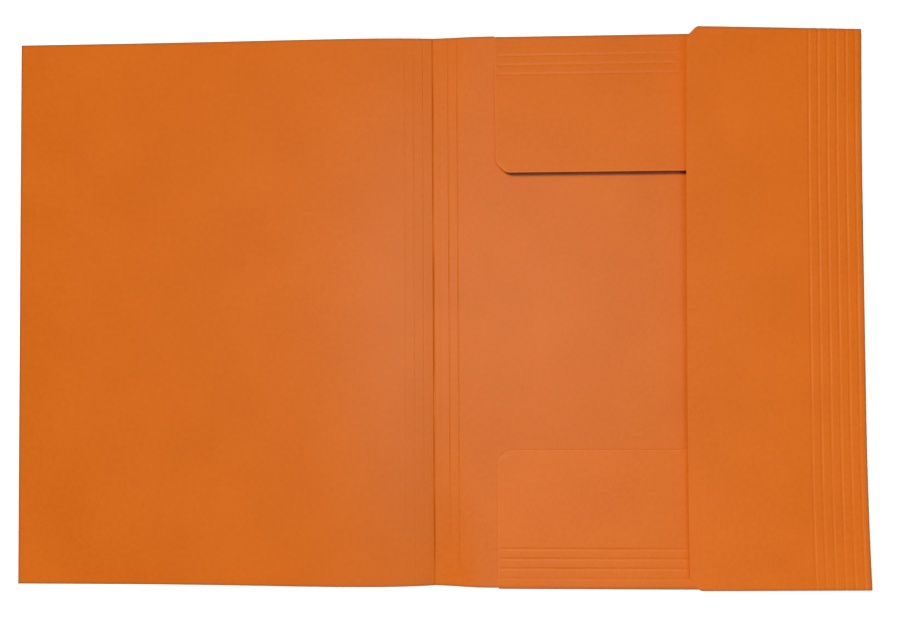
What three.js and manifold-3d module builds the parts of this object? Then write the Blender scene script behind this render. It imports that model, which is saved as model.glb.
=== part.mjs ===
import * as THREE from 'three';
import { mergeVertices } from 'three/addons/utils/BufferGeometryUtils.js';
import Module from 'manifold-3d';

// Three flap folder: one sheet of card, die-cut, creased and folded, lying open with its inner face up.
// Millimetres. X runs across the spine from the cover to the side flap, Y along the spine, Z is up.

// Card
const cardThickness = 0.45;
const cardColour = 0xd9722c;
const cardRoughness = 0.55;
const cardMetalness = 0;

// Outline of the sheet
const folderHeight = 320; // cover, back and side flap, along the spine
const coverWidth = 246; // main crease to the cover's free edge
const backWidth = 248; // main crease to the outside of the fore-edge fold
const sideFlapWidth = 103; // outside of the fore-edge fold to the side flap's free edge
const sideFlapCorner = 6.5; // how far its two softened corners reach along each edge
const topFlapDepth = 80.3; // outside of the top fold to the top flap's free edge
const bottomFlapDepth = 79.2;
const endFlapStart = 37; // main crease to the visible ends of the top and bottom flaps
const endFlapSetback = 12; // outside of the fore-edge fold to their hidden ends
const endFlapCorner = 7;
const cornerSoftness = 1.3; // 1 is a straight 45 degree cut, 2 a quarter circle
const topFoldInset = 1.3; // how far the top fold starts inside the cut edges beside it
const bottomFoldInset = 0.3;
const insetRun = 0.5; // length of the step between the two

// Folds, and the space left in them
const endFoldGap = 0.65; // inside the top and bottom folds
const sideFoldClearance = 0.85; // inside the fore-edge fold, beyond what the top and bottom flaps fill
const sideFlapOpenTop = 5.5; // degrees that the side flap has sprung open, at its upper end
const sideFlapOpenBottom = 1.5;
const topFlapOpen = 2.3; // as far as the side flap's free edge
const topFlapOpenHidden = 0.7; // at its hidden end, where the side flap holds it down
const bottomFlapOpen = 0.25;

// Crease lines, pressed into the face that lies uppermost
const creaseWidth = 1.2;
const creaseDepth = 0.15;
const spineCreasePitch = 5.3;
const spineCreasesPerSide = 3;
const backCreaseShift = 1.1; // those on the back lie this much nearer to the main crease
const flapCreasePitch = 5.5;
const sideFlapCreases = 6;
const sideFlapFirstCrease = 4.3; // outside of the fore-edge fold to the nearest crease
const endFlapCreases = 4;
const endFlapFirstCrease = 5.9;

// How the card has settled: the cover arches beside the spine, the ends of the back curl up
const coverRiseTop = 2;
const coverRiseBottom = 4;
const coverRisePeak = 0.2; // place of the arch's top, as a share of the cover's width
const backCurlTop = 2;
const backCurlBottom = 4;
const backFlatHalf = 60; // half the length of the back that lies flat, along the spine
const spineRamp = 30; // main crease to where the back's curl is complete

// Divisions of the faceted surfaces
const coverDivisions = 12;
const curlDivisions = 5;
const foldDivisions = 8;
const flapDivisions = 4;
const twistDivisions = 6;
const cornerDivisions = 5;

const halfHeight = folderHeight / 2;
const halfCard = cardThickness / 2;
const endFoldRadius = (endFoldGap + cardThickness) / 2;
const sideFoldGap = endFoldGap + cardThickness + sideFoldClearance;
const sideFoldRadius = (sideFoldGap + cardThickness) / 2;
const sideFoldStart = backWidth - sideFoldRadius - halfCard;
const endFlapEnd = backWidth - endFlapSetback;
const endFlapMiddle = (endFlapStart + endFlapEnd) / 2;
const endFlapHalfWidth = (endFlapEnd - endFlapStart) / 2;
const sideFlapEdge = backWidth - sideFlapWidth;

// Distances along the card from where a fold starts
const sideFoldLength = Math.PI * sideFoldRadius;
const endFoldLength = Math.PI * endFoldRadius;
const sideFlapReach = sideFoldLength + sideFlapWidth - sideFoldRadius - halfCard;

function spread(from, to, divisions) {
  return Array.from({ length: divisions + 1 }, (_, i) => THREE.MathUtils.lerp(from, to, i / divisions));
}

function includesNearly(values, wanted) {
  return values.some((value) => Math.abs(value - wanted) < 1e-6);
}

function repeat(first, pitch, count) {
  return Array.from({ length: count }, (_, i) => first + pitch * i);
}

// A crease has a station at each side and one at its bottom.
function creaseStations(creases) {
  return creases.flatMap((at) => [at - creaseWidth / 2, at, at + creaseWidth / 2]);
}

function ascending(values) {
  const sorted = values.slice().sort((a, b) => a - b);
  return sorted.filter((value, i) => i === 0 || value - sorted[i - 1] > 1e-6);
}

const spineCreases = [
  0,
  ...repeat(-spineCreasePitch, -spineCreasePitch, spineCreasesPerSide),
  ...repeat(spineCreasePitch - backCreaseShift, spineCreasePitch, spineCreasesPerSide),
];

// Measured from where the fold starts, like the reaches above
const sideCreases = repeat(
  sideFoldLength + sideFlapFirstCrease - sideFoldRadius - halfCard, flapCreasePitch, sideFlapCreases);
const endCreases = repeat(
  endFoldLength + endFlapFirstCrease - endFoldRadius - halfCard, flapCreasePitch, endFlapCreases);

// Height of the card's underside above the table
function riseAt(x, y) {
  const along = y / folderHeight + 0.5;
  if (x < 0) {
    const share = Math.min(-x / coverWidth, 1);
    const fall = 1 / coverRisePeak - 1;
    const peak = coverRisePeak * (1 - coverRisePeak) ** fall;
    const arch = share * (1 - share) ** fall / peak;
    return arch * THREE.MathUtils.lerp(coverRiseBottom, coverRiseTop, along);
  }
  const curl = Math.max(0, (Math.abs(y) - backFlatHalf) / (halfHeight - backFlatHalf)) ** 2;
  return THREE.MathUtils.smoothstep(x, 0, spineRamp) * curl * (y > 0 ? backCurlTop : backCurlBottom);
}

// Where a fold takes the middle of the card: out and up from where it starts, and how far it has turned.
function foldedPath(distance, radius, openDegrees) {
  const turn = Math.PI - THREE.MathUtils.degToRad(openDegrees);
  const length = Math.PI * radius;
  const angle = turn * Math.min(distance / length, 1);
  const beyond = Math.max(distance - length, 0);
  return {
    out: radius * Math.sin(angle) + beyond * Math.cos(angle),
    up: radius * (1 - Math.cos(angle)) + beyond * Math.sin(angle),
    angle,
  };
}

// How far a softened corner has drawn in, at a distance from the free edge.
function cornerInset(distance, corner) {
  const share = Math.max(0, 1 - distance / corner);
  return corner * (1 - (1 - share ** cornerSoftness) ** (1 / cornerSoftness));
}

// A strip of card: a box divided at the stations, whose points place() carries to where they lie.
// The face is 1 on the side that is uppermost where the strip lies flat, and -1 on the other.
function cardStrip(across, along, place) {
  const columns = across.length - 1;
  const rows = along.length - 1;
  const box = new THREE.BoxGeometry(columns, rows, 1, columns, rows, 1);
  box.deleteAttribute('normal');
  box.deleteAttribute('uv');
  const strip = mergeVertices(box);
  const position = strip.getAttribute('position');
  for (let i = 0; i < position.count; i++) {
    const u = across[Math.round(position.getX(i) + columns / 2)];
    const v = along[Math.round(position.getY(i) + rows / 2)];
    position.setXYZ(i, ...place(u, v, Math.sign(position.getZ(i))));
  }
  return strip;
}

// Half the sheet's height at a distance from the main crease, along the card
function mainHalfHeight(u, foldInset) {
  const inset = foldInset * (
    THREE.MathUtils.clamp((u - endFlapStart) / insetRun + 1, 0, 1)
    - THREE.MathUtils.clamp((u - endFlapEnd) / insetRun, 0, 1));
  return halfHeight - inset - cornerInset(sideFoldStart + sideFlapReach - u, sideFlapCorner);
}

// Cover, spine, back, fore-edge fold and side flap
function placeMainSheet(u, v, face) {
  const y = v * mainHalfHeight(u, v > 0 ? topFoldInset : bottomFoldInset) / halfHeight;
  const flatX = Math.min(u, sideFoldStart);
  const distance = Math.max(u - sideFoldStart, 0);
  const open = THREE.MathUtils.lerp(sideFlapOpenBottom, sideFlapOpenTop, y / folderHeight + 0.5);
  const fold = foldedPath(distance, sideFoldRadius, open);
  let offset = face * halfCard;
  if (face > 0 && includesNearly(spineCreases, u)) offset -= creaseDepth;
  if (face < 0 && includesNearly(sideCreases, distance)) offset += creaseDepth;
  return [
    flatX + fold.out - Math.sin(fold.angle) * offset,
    y,
    riseAt(flatX, y) + halfCard + fold.up + Math.cos(fold.angle) * offset,
  ];
}

// The end is 1 at the top and -1 at the bottom. A flap has sprung open less at its hidden end.
const topFlap = {
  end: 1,
  foldStart: halfHeight - topFoldInset,
  reach: endFoldLength + topFlapDepth - endFoldRadius - halfCard,
  open: topFlapOpen,
  openHidden: topFlapOpenHidden,
};
const bottomFlap = {
  end: -1,
  foldStart: halfHeight - bottomFoldInset,
  reach: endFoldLength + bottomFlapDepth - endFoldRadius - halfCard,
  open: bottomFlapOpen,
  openHidden: bottomFlapOpen,
};

function placeEndFlap(flap) {
  return (u, v, face) => {
    const distance = Math.abs(v);
    const held = THREE.MathUtils.smoothstep(u, sideFlapEdge, endFlapEnd);
    const open = THREE.MathUtils.lerp(flap.open, flap.openHidden, held);
    const fold = foldedPath(distance, endFoldRadius, open);
    const narrowing = 1 - cornerInset(flap.reach - distance, endFlapCorner) / endFlapHalfWidth;
    const x = endFlapMiddle + (u - endFlapMiddle) * narrowing;
    let offset = face * halfCard;
    if (face < 0 && includesNearly(endCreases, distance)) offset += creaseDepth;
    const y = flap.end * (flap.foldStart + fold.out - Math.sin(fold.angle) * offset);
    return [x, y, riseAt(x, y) + halfCard + fold.up + Math.cos(fold.angle) * offset];
  };
}

function cornerStations(edge, corner) {
  return spread(0, 1, cornerDivisions).map((share) => edge - corner * share ** 2);
}

// Stations across the main sheet. Those on the side flap keep the distances that its creases are listed at.
const spineEdge = spineCreasePitch * spineCreasesPerSide + creaseWidth;
const sideFlapStations = [
  ...spread(0, sideFoldLength, foldDivisions),
  ...creaseStations(sideCreases),
  ...spread(sideCreases.at(-1) + creaseWidth, sideFlapReach - sideFlapCorner, flapDivisions),
  ...cornerStations(sideFlapReach, sideFlapCorner),
];
const acrossMain = ascending([
  ...spread(-coverWidth, -spineEdge, coverDivisions),
  ...creaseStations(spineCreases),
  ...spread(spineEdge, spineRamp, 2),
  endFlapStart - insetRun,
  endFlapStart,
  endFlapEnd,
  endFlapEnd + insetRun,
  ...sideFlapStations.map((distance) => sideFoldStart + distance),
]);
const alongMain = ascending([
  ...spread(-halfHeight, -backFlatHalf, curlDivisions),
  0,
  ...spread(backFlatHalf, halfHeight, curlDivisions),
]);

function alongEndFlap(flap) {
  const distances = ascending([
    ...spread(0, endFoldLength, foldDivisions),
    ...creaseStations(endCreases),
    ...spread(endCreases.at(-1) + creaseWidth, flap.reach - endFlapCorner, flapDivisions),
    ...cornerStations(flap.reach, endFlapCorner),
  ]);
  return ascending(distances.map((distance) => flap.end * distance));
}

const wasm = await Module();
wasm.setup();

function solidOf(geometry) {
  return new wasm.Manifold(new wasm.Mesh({
    numProp: 3,
    vertProperties: new Float32Array(geometry.getAttribute('position').array),
    triVerts: new Uint32Array(geometry.index.array),
  }));
}

function geometryOf(solid) {
  const mesh = solid.getMesh();
  const geometry = new THREE.BufferGeometry();
  geometry.setAttribute('position', new THREE.BufferAttribute(new Float32Array(mesh.vertProperties), 3));
  geometry.setIndex(new THREE.BufferAttribute(new Uint32Array(mesh.triVerts), 1));
  return geometry;
}

const acrossEndFlap = [endFlapStart, ...spread(sideFlapEdge, endFlapEnd, twistDivisions)];
const mainSheet = solidOf(cardStrip(acrossMain, alongMain, placeMainSheet));
const topSheet = solidOf(cardStrip(acrossEndFlap, alongEndFlap(topFlap), placeEndFlap(topFlap)));
const bottomSheet = solidOf(cardStrip(acrossEndFlap, alongEndFlap(bottomFlap), placeEndFlap(bottomFlap)));

// The origin is the middle of the footprint, on the table.
const sheetGeometry = geometryOf(mainSheet.add(topSheet).add(bottomSheet));
sheetGeometry.computeBoundingBox();
const { min, max } = sheetGeometry.boundingBox;
sheetGeometry.translate(-(min.x + max.x) / 2, -(min.y + max.y) / 2, -min.z);
sheetGeometry.computeVertexNormals();

const folderSheet = new THREE.Mesh(
  sheetGeometry,
  new THREE.MeshStandardMaterial({
    color: cardColour,
    roughness: cardRoughness,
    metalness: cardMetalness,
    flatShading: true,
  }),
);
folderSheet.name = 'folder_sheet';

const folder = new THREE.Group();
folder.name = 'three_flap_folder';
folder.add(folderSheet);

export default folder;
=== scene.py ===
import math

import bmesh
import bpy
from mathutils import Euler, Matrix, Vector


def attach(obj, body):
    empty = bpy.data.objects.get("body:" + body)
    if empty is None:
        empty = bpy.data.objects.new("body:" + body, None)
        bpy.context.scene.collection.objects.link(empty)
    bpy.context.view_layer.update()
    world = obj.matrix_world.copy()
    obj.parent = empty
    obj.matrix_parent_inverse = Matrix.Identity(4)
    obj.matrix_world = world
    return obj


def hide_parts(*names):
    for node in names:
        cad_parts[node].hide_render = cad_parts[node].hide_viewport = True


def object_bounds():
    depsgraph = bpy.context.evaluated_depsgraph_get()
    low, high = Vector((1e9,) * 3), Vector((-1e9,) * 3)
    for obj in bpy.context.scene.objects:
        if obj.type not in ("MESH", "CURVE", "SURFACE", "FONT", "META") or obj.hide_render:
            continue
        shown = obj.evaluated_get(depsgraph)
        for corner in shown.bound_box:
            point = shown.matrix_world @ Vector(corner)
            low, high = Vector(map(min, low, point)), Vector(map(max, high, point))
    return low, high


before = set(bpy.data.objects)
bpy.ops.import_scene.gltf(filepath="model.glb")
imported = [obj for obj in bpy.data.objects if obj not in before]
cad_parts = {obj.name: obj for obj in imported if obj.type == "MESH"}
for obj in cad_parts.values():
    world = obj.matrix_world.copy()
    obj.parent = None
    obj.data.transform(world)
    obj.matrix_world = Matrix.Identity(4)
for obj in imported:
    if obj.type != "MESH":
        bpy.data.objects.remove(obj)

cadLow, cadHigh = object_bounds()
mm = 0.001


# Shader helpers

class Wire:  # an output socket that can stand in a sum
    def __init__(self, maker, socket):
        self.maker = maker
        self.socket = socket

    def combine(self, operation, first, second):
        return self.maker.make("ShaderNodeMath", {"operation": operation}, {0: first, 1: second})

    def __add__(self, other):
        return self.combine("ADD", self, other)

    def __radd__(self, other):
        return self.combine("ADD", other, self)

    def __sub__(self, other):
        return self.combine("SUBTRACT", self, other)

    def __rsub__(self, other):
        return self.combine("SUBTRACT", other, self)

    def __mul__(self, other):
        return self.combine("MULTIPLY", self, other)

    def __rmul__(self, other):
        return self.combine("MULTIPLY", other, self)


class NodeMaker:
    def __init__(self, tree):
        self.tree = tree
        tree.nodes.clear()

    def make(self, kind, settings=None, sockets=None, output=0):
        node = self.tree.nodes.new(kind)
        for name, value in (settings or {}).items():
            setattr(node, name, value)
        for name, value in (sockets or {}).items():
            if isinstance(value, Wire):
                self.tree.links.new(value.socket, node.inputs[name])
            else:
                node.inputs[name].default_value = value
        return Wire(self, node.outputs[output]) if node.outputs else node

    def attribute(self, name):
        return self.make("ShaderNodeAttribute", {"attribute_name": name}, output=2)  # 2 is its plain number

    def noise(self, place, scale, detail=2.0, roughness=0.5):
        return self.make("ShaderNodeTexNoise", {"noise_dimensions": "3D"}, {
            "Vector": place, "Scale": scale, "Detail": detail, "Roughness": roughness})

    def stretch(self, place, scale):
        return self.make("ShaderNodeMapping", {"vector_type": "POINT"}, {"Vector": place, "Scale": scale})

    def ramp(self, factor, span):  # 0 up to the start of the span, 1 from its end
        wire = self.make("ShaderNodeValToRGB", {}, {"Fac": factor})
        for element, place in zip(wire.socket.node.color_ramp.elements, span):
            element.position = place
        return wire

    def blend(self, factor, first, second, kind="MIX"):  # 0, 6 and 7 are the factor and the two colours
        settings = {"data_type": "RGBA", "blend_type": kind}
        return self.make("ShaderNodeMix", settings, {0: factor, 6: first, 7: second}, output=2)

    def finish(self, shader):
        self.make("ShaderNodeOutputMaterial", {}, {"Surface": shader})


def newMaterial(name):
    material = bpy.data.materials.new(name)
    material.use_nodes = True
    return material, NodeMaker(material.node_tree)


# The sheet of card, cut flat, then folded

sheetValues = {
    "card": 0.45 * mm,
    "height": 320 * mm,
    "coverWidth": 246 * mm,
    "backWidth": 248 * mm,
    "sideFlapWidth": 103 * mm,
    "sideFlapCut": 5.7 * mm,            # straight corner cut
    "sideFlapRound": 1.2 * mm,          # rounding at its two ends
    "sideFlapOpenTop": 5.5,             # degrees
    "sideFlapOpenBottom": 1.5,
    "endFlapStart": 37 * mm,            # from the spine to the top and bottom flaps
    "endFlapSetback": 12 * mm,          # from these flaps to the side fold
    "endFlapCut": 5.8 * mm,
    "endFlapRound": 2.2 * mm,
    "topFlap": {
        "side": 1,                      # the way that it lies along Y
        "depth": 80.3 * mm,
        "foldInset": 1.3 * mm,
        "opened": 2.6,                  # degrees
        "openedHidden": 0.7,            # the same at the end under the side flap
        "firstCrease": (0.12, 0.12),    # shares of the crease depth at the spine end and the hidden end
        "otherCreases": (1, 0.6),
        "paintedLightShare": 0,                      # how much of the side flap's painted lighter shading it has
    },
    "bottomFlap": {
        "side": -1,
        "depth": 79.2 * mm,
        "foldInset": 0.3 * mm,
        "opened": 0.25,
        "openedHidden": 0.25,
        "firstCrease": (0.35, 0.35),
        "otherCreases": (1, 1),
        # share of the painted lighter shading on the bottom flap
        "paintedLightShare": 0.6,
    },
    "foldSlot": 0.05 * mm,              # nick beside each end of the top and bottom folds
    "endFoldGap": 0.65 * mm,            # room between the back and the top or bottom flap at its fold
    "sideFoldClearance": 0.85 * mm,
    "creaseHalf": 1.15 * mm,            # half the width of a crease on the flaps
    "creaseDepth": 0.19 * mm,
    "creaseUneven": 0.35,               # how much a crease's depth changes along it
    "creaseWander": 0.04 * mm,          # how far a crease strays from its line
    "unevenWaves": (90, 37, 2),         # radians per metre of two waves, divisor of the second one's start
    "wanderWaves": (55, 21, 3),
    "waveStart": 900,                   # radians per metre, puts the waves of two creases out of step
    "beadHeight": 0.1 * mm,             # ridge on the inner face of a flap crease
    "flapPitch": 5.5 * mm,
    "sideFirstCrease": 4.3 * mm,
    "sideCreaseCount": 6,
    "sideCreaseShares": (0.55, 1),      # at the bottom end and the top end
    "endFirstCrease": 5.9 * mm,
    "endCreaseCount": 4,
    "creaseEndGap": 0.7 * mm,           # no crease this near to a flap's end
    "creaseEndFade": 1.2 * mm,          # and from there to its full depth
    "mainCreaseShift": 0.45 * mm,
    "mainCreaseHalf": 0.7425 * mm,
    "mainCreaseShares": (1.7, 1.8),
    "spineCreaseHalf": 0.55 * mm,
    "spinePitch": 5.3 * mm,
    "backCreaseShift": 1.1 * mm,
    "coverCreaseShares": ((0.15, 0.6), (0.15, 0.5), (0.15, 0.4)),    # from the main crease outwards
    "backCreaseShares": ((0.3, 0.3), (0.9, 0.9), (0.9, 0.9)),
    "coverRiseTop": 2 * mm,
    "coverRiseBottom": 4 * mm,
    "coverRisePeak": 0.2,               # where the arch is highest, as a share of the cover's width
    "backCurlTop": 2 * mm,
    "backCurlBottom": 4 * mm,
    "backFlatHalf": 60 * mm,
    "spineRamp": 30 * mm,
    "waviness": 0.12 * mm,              # how far the card is from true between its folds
    "cardWaves": ((41, 13, 0), (-17, 37, 1)),    # radians per metre along X and Y, and a start
    "edgeBevel": 0.06 * mm,
    "paintedShadeWidth": 2.2 * mm,              # band of painted shade along the outer edges and folds
    "wearAndHighlightWidth": 0.9 * mm,              # pale band along the cut edges of the top and bottom flaps: partly wear, partly painted highlight
    "cell": 6 * mm,                     # largest face of the mesh
    "fineCell": 2 * mm,                 # near creases
    "creaseCuts": (-1.2, -1, -0.75, -0.5, -0.25, 0, 0.25, 0.5, 0.75, 1, 1.2),    # in half widths
    "flapEndCuts": (0.4 * mm, 0.9 * mm, 1.5 * mm, 2.2 * mm),
    "slotMargin": 0.6 * mm,             # no other cut this near to a nick
    "spineMargin": 1.5 * mm,
    "sideFoldSteps": 16,
    "endFoldSteps": 12,
    "sharpFrom": 20,                    # degrees between two faces
}
s = sheetValues

halfHeight = s["height"] / 2
halfCard = s["card"] / 2
endRadius = (s["endFoldGap"] + s["card"]) / 2
sideRadius = (s["endFoldGap"] + 2 * s["card"] + s["sideFoldClearance"]) / 2
sideFoldStart = s["backWidth"] - sideRadius - halfCard
endFlapEnd = s["backWidth"] - s["endFlapSetback"]
sideFlapEdge = s["backWidth"] - s["sideFlapWidth"]
sideFoldLength = math.pi * sideRadius
endFoldLength = math.pi * endRadius
sideReach = sideFoldLength + s["sideFlapWidth"] - sideRadius - halfCard
uEnd = sideFoldStart + sideReach
spineMiddle = Vector((cadLow.x + s["coverWidth"], cadHigh.y - halfHeight, cadLow.z))
slack = 1e-6             # for comparing places on the blank
cutSlack = 1e-7          # a cut this near to a vertex goes through it
mergeGap = 2e-6
cornerShare = 0.7        # of the sum of the gaps to two sides: about the gap to their corner cut


def crease(at, half, shares):  # shares of the crease depth at its two ends
    return {"at": at, "half": half, "shares": shares}


def smoothstep(t):
    t = min(max(t, 0), 1)
    return t * t * (3 - 2 * t)


def lerp(a, b, t):
    return a + (b - a) * t


def endFlap(values):  # the top or bottom flap, with its places on the blank
    start = halfHeight - values["foldInset"]
    flat = start + endFoldLength - endRadius - halfCard
    creases = [crease(flat + s["endFirstCrease"] + i * s["flapPitch"], s["creaseHalf"],
                      values["otherCreases"] if i else values["firstCrease"])
               for i in range(s["endCreaseCount"])]
    return {**values, "start": start, "end": flat + values["depth"], "creases": creases}


endFlaps = [endFlap(s["topFlap"]), endFlap(s["bottomFlap"])]

spineCreases = [crease(s["mainCreaseShift"], s["mainCreaseHalf"], s["mainCreaseShares"])]
for i, (coverShares, backShares) in enumerate(zip(s["coverCreaseShares"], s["backCreaseShares"]), 1):
    spineCreases.append(crease(-i * s["spinePitch"], s["spineCreaseHalf"], coverShares))
    spineCreases.append(crease(i * s["spinePitch"] - s["backCreaseShift"], s["spineCreaseHalf"], backShares))

firstSideCrease = sideFoldStart + sideFoldLength + s["sideFirstCrease"] - sideRadius - halfCard
sideCreases = [crease(firstSideCrease + i * s["flapPitch"], s["creaseHalf"], s["sideCreaseShares"])
               for i in range(s["sideCreaseCount"])]


def flapAt(v):
    return endFlaps[0] if v > 0 else endFlaps[1]


def onFlapWidth(u):
    return s["endFlapStart"] - slack <= u <= endFlapEnd + slack


def flapEndGap(u):  # to the nearer end of the top and bottom flaps
    return min(u - s["endFlapStart"], endFlapEnd - u)


def riseAt(x, y):  # underside of the card above the table
    along = y / s["height"] + 0.5
    waves = sum(math.sin(x * perX + y * perY + start) for perX, perY, start in s["cardWaves"])
    wave = (0.5 + 0.25 * waves) * s["waviness"] * smoothstep(abs(x) / s["spineRamp"])
    if x < 0:
        share = min(-x / s["coverWidth"], 1)
        fall = 1 / s["coverRisePeak"] - 1
        peak = s["coverRisePeak"] * (1 - s["coverRisePeak"]) ** fall
        arch = share * (1 - share) ** fall / peak
        return arch * lerp(s["coverRiseBottom"], s["coverRiseTop"], along) + wave
    curl = max(0, (abs(y) - s["backFlatHalf"]) / (halfHeight - s["backFlatHalf"])) ** 2
    curl *= s["backCurlTop"] if y > 0 else s["backCurlBottom"]
    return smoothstep(x / s["spineRamp"]) * curl + wave


def foldedPath(distance, radius, openDegrees):  # out, up and the angle turned
    turn = math.pi - math.radians(openDegrees)
    length = math.pi * radius
    angle = turn * min(distance / length, 1)
    beyond = max(distance - length, 0)
    return (radius * math.sin(angle) + beyond * math.cos(angle),
            radius * (1 - math.cos(angle)) + beyond * math.sin(angle), angle)


def twoWaves(run, waves, start):  # between -1 and 1 along a crease
    first, second, divisor = waves
    return math.sin(run * first + start) * math.sin(run * second + start / divisor)


def creaseAt(creases, place, along, run):  # 0 away from the creases, 1 at the bottom of a full one
    total = 0
    for line in creases:
        start = line["at"] * s["waveStart"]
        stray = s["creaseWander"] * twoWaves(run, s["wanderWaves"], start)
        gap = abs(place - line["at"] - stray) / line["half"]
        if gap < 1:
            uneven = 1 + s["creaseUneven"] * twoWaves(run, s["unevenWaves"], start)
            total += (1 - gap * gap) ** 2 * lerp(*line["shares"], along) * uneven
    return total


def nearness(gap, width):  # 1 at a line, 0 a width away from it
    return 1 - min(max(gap, 0) / width, 1)


def edgeMarks(u, v):  # how near to an outer edge or fold, for painted shade, and to a cut edge of a flap, for its pale band of wear and painted highlight
    flap = flapAt(v)
    beyond = abs(v) - flap["start"]
    foldGap = abs(beyond - endFoldLength / 2) - endFoldLength / 4
    if onFlapWidth(u) and beyond > 0:
        edgeGap = flap["end"] - abs(v)
        cornerGap = (flapEndGap(u) + edgeGap - s["endFlapCut"]) * cornerShare
        cutGap = min(flapEndGap(u), edgeGap, cornerGap)
        return nearness(foldGap, s["paintedShadeWidth"]), nearness(cutGap, s["wearAndHighlightWidth"])
    if not onFlapWidth(u):
        foldGap = halfHeight - abs(v)
    sideGap = abs(u - sideFoldStart - sideFoldLength / 2) - sideFoldLength / 4
    return nearness(min(foldGap, sideGap, u + s["coverWidth"]), s["paintedShadeWidth"]), 0


def paintedLightAt(u, v):  # how much painted lighter shading a point has
    flap = flapAt(v)
    beyond = abs(v) - flap["start"]
    if beyond > 0 and onFlapWidth(u):
        return flap["paintedLightShare"] * smoothstep(beyond / endFoldLength)
    return smoothstep((u - sideFoldStart) / sideFoldLength)


def placeCard(u, v, w):  # a point of the flat slab to where it lies; also how deep in a crease it is
    flap = flapAt(v)
    beyond = abs(v) - flap["start"]
    face = w / halfCard  # 1 on the inner face, -1 on the outer
    pressed = lerp(s["creaseDepth"], s["beadHeight"], face / 2 + 0.5)
    if beyond > 0 and onFlapWidth(u):
        held = smoothstep((u - sideFlapEdge) / (endFlapEnd - sideFlapEdge))
        opened = lerp(flap["opened"], flap["openedHidden"], held)
        out, up, angle = foldedPath(beyond, endRadius, opened)
        across = (u - s["endFlapStart"]) / (endFlapEnd - s["endFlapStart"])
        ends = smoothstep((flapEndGap(u) - s["creaseEndGap"]) / s["creaseEndFade"])
        depth = creaseAt(flap["creases"], abs(v), across, u) * ends
        w += depth * pressed
        y = flap["side"] * (flap["start"] + out - math.sin(angle) * w)
        return (u, y, riseAt(u, y) + halfCard + up + math.cos(angle) * w), depth
    distance = max(u - sideFoldStart, 0)
    flatX = min(u, sideFoldStart)
    along = v / s["height"] + 0.5
    opened = lerp(s["sideFlapOpenBottom"], s["sideFlapOpenTop"], along)
    out, up, angle = foldedPath(distance, sideRadius, opened)
    spineDepth = creaseAt(spineCreases, u, along, v)
    depth = creaseAt(sideCreases, u, along, v)
    w += depth * pressed
    w -= spineDepth * s["creaseDepth"] * max(face, 0)  # the spine's creases are pressed from the inner face
    x = flatX + out - math.sin(angle) * w
    return (x, v, riseAt(flatX, v) + halfCard + up + math.cos(angle) * w), depth + spineDepth


def divisions(start, end, cell):
    count = max(1, round((end - start) / cell))
    return [lerp(start, end, i / count) for i in range(count + 1)]


def creaseCuts(creases):
    return [line["at"] + line["half"] * share for line in creases for share in s["creaseCuts"]]


def flapCuts(start, foldLength, foldSteps, creases, end):  # a fold, its creases and the rest of a flap
    straight = start + foldLength
    lastCrease = creases[-1]["at"]
    return (divisions(start, straight, foldLength / foldSteps) + creaseCuts(creases)
            + divisions(straight, lastCrease, s["fineCell"])
            + divisions(lastCrease + s["fineCell"], end, s["cell"]))


def cutAlong(bm, places, direction):
    for place in places:
        bmesh.ops.bisect_plane(
            bm, geom=bm.verts[:] + bm.edges[:] + bm.faces[:], dist=cutSlack,
            plane_co=Vector(direction) * place, plane_no=direction)


def removeFaces(bm, unwanted):
    waste = [face for face in bm.faces if unwanted(*face.calc_center_median()[:2])]
    bmesh.ops.delete(bm, geom=waste, context="FACES")


def cutCorners(bm, corners, cut, rounding):
    reach = cut * 1.2 + slack  # takes in both ends of the straight cut
    for segments, size in ((1, cut), (4, rounding)):
        found = [v for v in bm.verts if any((v.co - c).length < reach for c in corners)]
        bmesh.ops.bevel(bm, geom=found, offset=size, offset_type="OFFSET", segments=segments,
                        profile=0.5, affect="VERTICES", material=-1)


def cutBlank(bm):
    top, bottom = endFlaps
    width = uEnd + s["coverWidth"]
    height = top["end"] + bottom["end"]
    middle = ((uEnd - s["coverWidth"]) / 2, (top["end"] - bottom["end"]) / 2, 0)
    place = Matrix.Translation(middle) @ Matrix.Diagonal((width, height, 1, 1))
    bmesh.ops.create_grid(bm, x_segments=1, y_segments=1, size=0.5, matrix=place)
    flapSides = (s["endFlapStart"], endFlapEnd)
    slotSides = (s["endFlapStart"] - s["foldSlot"], endFlapEnd + s["foldSlot"])
    cutAlong(bm, flapSides, (1, 0, 0))
    cutAlong(bm, (halfHeight, -halfHeight), (0, 1, 0))
    removeFaces(bm, lambda u, v: abs(v) > halfHeight and not flapSides[0] < u < flapSides[1])
    sideCorners = [Vector((uEnd, y, 0)) for y in (-halfHeight, halfHeight)]
    endCorners = [Vector((x, flap["side"] * flap["end"], 0)) for x in flapSides for flap in endFlaps]
    cutCorners(bm, sideCorners, s["sideFlapCut"], s["sideFlapRound"])
    cutCorners(bm, endCorners, s["endFlapCut"], s["endFlapRound"])
    cutAlong(bm, slotSides, (1, 0, 0))
    cutAlong(bm, (top["start"], -bottom["start"]), (0, 1, 0))
    for low, high in ((slotSides[0], flapSides[0]), (flapSides[1], slotSides[1])):
        removeFaces(bm, lambda u, v: low < u < high and not -bottom["start"] < v < top["start"])


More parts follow.
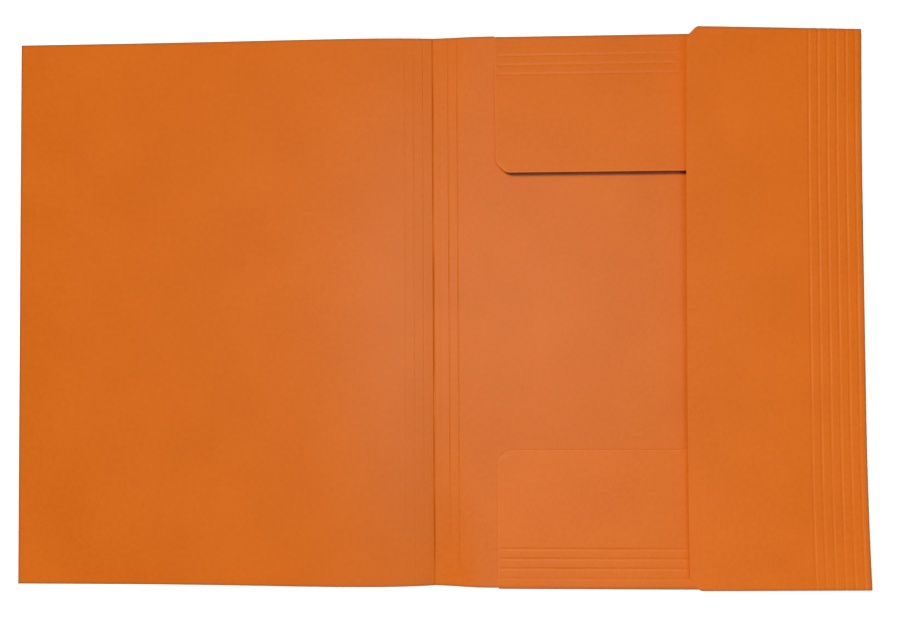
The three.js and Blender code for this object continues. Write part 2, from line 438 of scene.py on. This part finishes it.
def divideBlank(bm):  # into cells, finer at the creases and folds
    spineSide = s["spinePitch"] * len(s["coverCreaseShares"]) + s["spineMargin"]
    across = (divisions(-s["coverWidth"], -spineSide, s["cell"]) + creaseCuts(spineCreases)
              + divisions(-spineSide, s["endFlapStart"] - s["slotMargin"], s["fineCell"])
              + [s["paintedShadeWidth"] - s["coverWidth"]]
              + [s["endFlapStart"] + gap for gap in s["flapEndCuts"]]
              + [endFlapEnd - gap for gap in s["flapEndCuts"]]
              + divisions(s["endFlapStart"], endFlapEnd, s["cell"])
              + divisions(endFlapEnd + s["slotMargin"], sideFoldStart, s["cell"] / 2)
              + flapCuts(sideFoldStart, sideFoldLength, s["sideFoldSteps"], sideCreases, uEnd))
    # edge of the band of painted shade along the top and bottom
    shadeBandEdge = halfHeight - s["paintedShadeWidth"]
    along = [-shadeBandEdge, shadeBandEdge] + divisions(-endFlaps[1]["start"], endFlaps[0]["start"], s["cell"])
    for flap in endFlaps:
        outward = flapCuts(flap["start"], endFoldLength, s["endFoldSteps"], flap["creases"],
                           flap["end"] - s["wearAndHighlightWidth"])
        along += [flap["side"] * v for v in outward]
    cutAlong(bm, sorted(across), (1, 0, 0))
    cutAlong(bm, sorted(along), (0, 1, 0))
    bmesh.ops.remove_doubles(bm, verts=bm.verts[:], dist=mergeGap)


def thicken(bm):  # gives back the height of the slab's middle
    bmesh.ops.translate(bm, verts=bm.verts[:], vec=(0, 0, halfCard))
    bmesh.ops.solidify(bm, geom=bm.faces[:], thickness=s["card"])
    bmesh.ops.recalc_face_normals(bm, faces=bm.faces[:])
    rim = [e for e in bm.edges if len(e.link_faces) == 2
           and sum(abs(f.normal.z) > 0.5 for f in e.link_faces) == 1]  # between a face and a cut side
    bmesh.ops.bevel(bm, geom=rim, offset=s["edgeBevel"], offset_type="OFFSET", segments=2,
                    profile=0.5, affect="EDGES", material=-1)
    return sum(v.co.z for v in bm.verts) / len(bm.verts)


def foldSlab(bm, middle):
    sheetMap = bm.loops.layers.uv.new("sheetMap")
    creaseLayer = bm.verts.layers.float.new("creaseDepth")
    paintedShadeLayer = bm.verts.layers.float.new("paintedEdgeShade")
    wearAndHighlightLayer = bm.verts.layers.float.new("edgeWearAndHighlight")
    paintedLightLayer = bm.verts.layers.float.new("paintedFlapLight")
    for face in bm.faces:
        face.material_index = 0 if abs(face.normal.z) > 0.9 else 1  # the card's faces, then its cut edges
        face.smooth = True
        for loop in face.loops:
            loop[sheetMap].uv = (loop.vert.co.x, loop.vert.co.y)
    for edge in bm.edges:
        edge.smooth = edge.calc_face_angle(0) < math.radians(s["sharpFrom"])
    for vert in bm.verts:
        vert[paintedShadeLayer], vert[wearAndHighlightLayer] = edgeMarks(vert.co.x, vert.co.y)
        # painted lighter shading of the side flap and part of the bottom flap
        vert[paintedLightLayer] = paintedLightAt(vert.co.x, vert.co.y)
        place, depth = placeCard(vert.co.x, vert.co.y, vert.co.z - middle)
        vert.co = Vector(place) + spineMiddle
        vert[creaseLayer] = depth
    bm.normal_update()


def buildSheet():
    bm = bmesh.new()
    cutBlank(bm)
    divideBlank(bm)
    print("blank cut")
    middle = thicken(bm)
    foldSlab(bm, middle)
    print("card folded")
    mesh = bpy.data.meshes.new("card_sheet")
    bm.to_mesh(mesh)
    bm.free()
    sheet = bpy.data.objects.new("card_sheet", mesh)
    bpy.context.scene.collection.objects.link(sheet)
    return sheet


# Card: dyed through, pressed smooth, with a soft satin sheen

cardValues = {
    "dyeDark": (0.63, 0.127, 0.003, 1),
    "dyeLight": (0.725, 0.159, 0.008, 1),
    "paintedLightGain": (1.075, 1.08, 1.0, 1),  # painted light: the side flap and, in part, the bottom flap coloured lighter, as if more light fell on them
    # pale colour for crease wear, and for the cut-edge band of wear and painted highlight
    "paleWearAndHighlight": (0.80, 0.28, 0.07, 1),
    # painted shade: darker, duller colour along the outer edges and folds
    "paintedEdgeShadeColour": (0.24, 0.085, 0.025, 1),
    "shade": (0.48, 0.085, 0.001, 1),   # at the bottom of the main crease
    "creaseWear": 0.35,
    "spineShade": 0.8,
    # strength of the cut-edge band: partly wear, partly painted highlight
    "edgeWearAndHighlight": 0.45,
    # strength of the painted shade along the outer edges and folds
    "paintedEdgeShade": 0.55,
    "cloudScale": 22,                   # slow change of tone over the sheet
    "mottleScale": 380,                 # pulp, a few mm across
    "fibreScale": (900, 4200, 1),       # short fibres along X
    "grainScale": 5200,
    "speckScale": 1500,                 # breaks up the wear along the creases
    "toneShares": (0.4, 0.4, 0.2),      # of cloud, mottle and fibre
    "toneSpan": (0.3, 0.7),
    "speckSpan": (0.56, 0.68),
    "wearSpan": (0.05, 0.6),            # of a crease's depth
    "shadeSpan": (0.55, 0.8),           # of half a crease's depth
    "roughness": 0.46,
    "mottleRoughness": 0.12,
    "fibreRoughness": 0.1,
    "specular": 0.38,
    "reliefShares": (0.3, 0.35, 0.6),   # of grain, fibre and mottle
    "grainDepth": 0.02 * mm,
}


def cardMaterial():
    c = cardValues
    material, n = newMaterial("orange_card")
    place = n.make("ShaderNodeUVMap", {"uv_map": "sheetMap"})
    cloud = n.noise(place, c["cloudScale"], 3)
    mottle = n.noise(place, c["mottleScale"], 3, 0.55)
    fibre = n.noise(n.stretch(place, c["fibreScale"]), 1, 3, 0.6)
    grain = n.noise(place, c["grainScale"], 2, 0.6)
    speck = n.ramp(n.noise(place, c["speckScale"], 2, 0.7), c["speckSpan"])
    inCrease = n.attribute("creaseDepth")
    nearShadedEdge = n.attribute("paintedEdgeShade")
    nearCut = n.attribute("edgeWearAndHighlight")
    cloudShare, mottleShare, fibreShare = c["toneShares"]
    tone = n.ramp(cloud * cloudShare + mottle * mottleShare + fibre * fibreShare, c["toneSpan"])
    colour = n.blend(tone, c["dyeDark"], c["dyeLight"])
    # painted light: lightens the side flap and part of the bottom flap
    colour = n.blend(n.attribute("paintedFlapLight"), colour, c["paintedLightGain"], "MULTIPLY")
    paleMarks = n.ramp(inCrease, c["wearSpan"]) * speck * c["creaseWear"]
    # pale band along the flaps' cut edges: partly wear, partly painted highlight
    paleMarks = paleMarks + nearCut * (mottle * 1.4 - 0.2) * c["edgeWearAndHighlight"]
    colour = n.blend(paleMarks, colour, c["paleWearAndHighlight"])
    deep = n.ramp(inCrease * 0.5, c["shadeSpan"]) * c["spineShade"]
    colour = n.blend(deep, colour, c["shade"])
    # painted shade along the outer edges and folds, broken up by the mottle
    paintedShadeAmount = nearShadedEdge * nearShadedEdge * (mottle * 0.8 + 0.6) * c["paintedEdgeShade"]
    colour = n.blend(paintedShadeAmount, colour, c["paintedEdgeShadeColour"])
    rough = c["roughness"] + (mottle - 0.5) * c["mottleRoughness"] + (fibre - 0.5) * c["fibreRoughness"]
    grainShare, fibreShare, mottleShare = c["reliefShares"]
    relief = grain * grainShare + fibre * fibreShare + mottle * mottleShare
    bump = n.make("ShaderNodeBump", {}, {"Height": relief, "Distance": c["grainDepth"], "Strength": 1.0})
    shader = n.make("ShaderNodeBsdfPrincipled", {}, {
        "Base Color": colour, "Roughness": rough, "Normal": bump, "Specular IOR Level": c["specular"]})
    n.finish(shader)
    return material


edgeValues = {
    "core": (0.74, 0.24, 0.05, 1),
    "coreDark": (0.60, 0.15, 0.02, 1),
    "pulpScale": (2500, 2500, 9000),    # layers along the card's thickness
    "pulpSpan": (0.35, 0.65),
    "pulpDepth": 0.03 * mm,
    "roughness": 0.8,
    "specular": 0.2,
}


def edgeMaterial():
    c = edgeValues
    material, n = newMaterial("cut_edge")
    place = n.make("ShaderNodeTexCoord", {}, output=3)  # 3 is the object's own place
    pulp = n.noise(n.stretch(place, c["pulpScale"]), 1, 3, 0.7)
    colour = n.blend(n.ramp(pulp, c["pulpSpan"]), c["coreDark"], c["core"])
    bump = n.make("ShaderNodeBump", {}, {"Height": pulp, "Distance": c["pulpDepth"], "Strength": 1.0})
    shader = n.make("ShaderNodeBsdfPrincipled", {}, {
        "Base Color": colour, "Roughness": c["roughness"], "Normal": bump,
        "Specular IOR Level": c["specular"]})
    n.finish(shader)
    return material


sheet = buildSheet()
sheet.data.materials.append(cardMaterial())
sheet.data.materials.append(edgeMaterial())
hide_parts("folder_sheet")
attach(sheet, "root")
print("card sheet made")


# Floor, lamps and camera

stageValues = {
    "floorSize": 1.4,                   # half the floor's side
    "floorColour": (0.82, 0.82, 0.82, 1),
    "floorGlow": 0.4,                   # lifts the floor to white where the camera sees it
    "lamps": {
        "over": {"place": (0.06, 0.06, 1.1), "size": 0.55, "power": 3.7, "sheen": True},
        "key": {"place": (-3.9, 2.6, 8.8), "size": 2.8, "power": 885, "sheen": False},
        "side": {"place": (0.25, -0.25, 1.2), "size": 0.5, "power": 1.5, "sheen": False},
    },
    "fill": 0.1,                        # light from all around
}
white = (1, 1, 1, 1)


def buildFloor():
    v = stageValues
    bm = bmesh.new()
    bmesh.ops.create_grid(bm, x_segments=1, y_segments=1, size=v["floorSize"])
    mesh = bpy.data.meshes.new("floor")
    bm.to_mesh(mesh)
    bm.free()
    floor = bpy.data.objects.new("floor", mesh)
    bpy.context.scene.collection.objects.link(floor)
    material, n = newMaterial("floor_white")
    diffuse = n.make("ShaderNodeBsdfDiffuse", {}, {"Color": v["floorColour"]})
    seen = n.make("ShaderNodeLightPath")  # its first output: seen by the camera
    glow = n.make("ShaderNodeEmission", {}, {"Color": white, "Strength": seen * v["floorGlow"]})
    n.finish(n.make("ShaderNodeAddShader", {}, {0: diffuse, 1: glow}))
    floor.data.materials.append(material)


def addLamp(name, place, size, power, sheen):  # a sheen lamp is seen only in reflections, the others never
    lamp = bpy.data.lights.new(name, "AREA")
    lamp.shape = "DISK"
    lamp.size = size
    lamp.energy = power
    holder = bpy.data.objects.new(name, lamp)
    holder.location = place
    holder.rotation_euler = (-Vector(place)).to_track_quat("-Z", "Y").to_euler()
    holder.visible_diffuse = not sheen
    holder.visible_glossy = sheen
    bpy.context.scene.collection.objects.link(holder)


def buildLight():
    for name, values in stageValues["lamps"].items():
        addLamp(name, **values)
    world = bpy.data.worlds.new("studio")
    world.use_nodes = True
    bpy.context.scene.world = world
    n = NodeMaker(world.node_tree)
    rays = n.make("ShaderNodeLightPath").socket.node.outputs
    bare = Wire(n, rays["Is Camera Ray"]) + Wire(n, rays["Is Transmission Ray"])
    strength = stageValues["fill"] + bare * (1 - stageValues["fill"])
    glow = n.make("ShaderNodeBackground", {}, {"Color": white, "Strength": strength})
    n.make("ShaderNodeOutputWorld", {}, {"Surface": glow})


cameraValues = {
    "focalPixels": 858,
    "frameWidth": 900,
    "sensor": 36.0,
    "clipStart": 0.01,
    "place": (26.4 * mm, -12.8 * mm, 501.7 * mm),    # from the middle of the spine
    "turn": (0.0234, 0.0331, -0.0055),               # radians about X, Y and Z
}


def buildCamera():
    c = cameraValues
    data = bpy.data.cameras.new("view")
    data.sensor_width = c["sensor"]
    data.lens = c["sensor"] * c["focalPixels"] / c["frameWidth"]
    data.clip_start = c["clipStart"]
    camera = bpy.data.objects.new("view", data)
    camera.location = Vector(c["place"]) + spineMiddle
    camera.rotation_euler = Euler(c["turn"], "XYZ")
    bpy.context.scene.collection.objects.link(camera)
    bpy.context.scene.camera = camera


buildFloor()
buildLight()
buildCamera()
bpy.context.scene.view_settings.view_transform = "Standard"
print("floor, lamps and camera made")
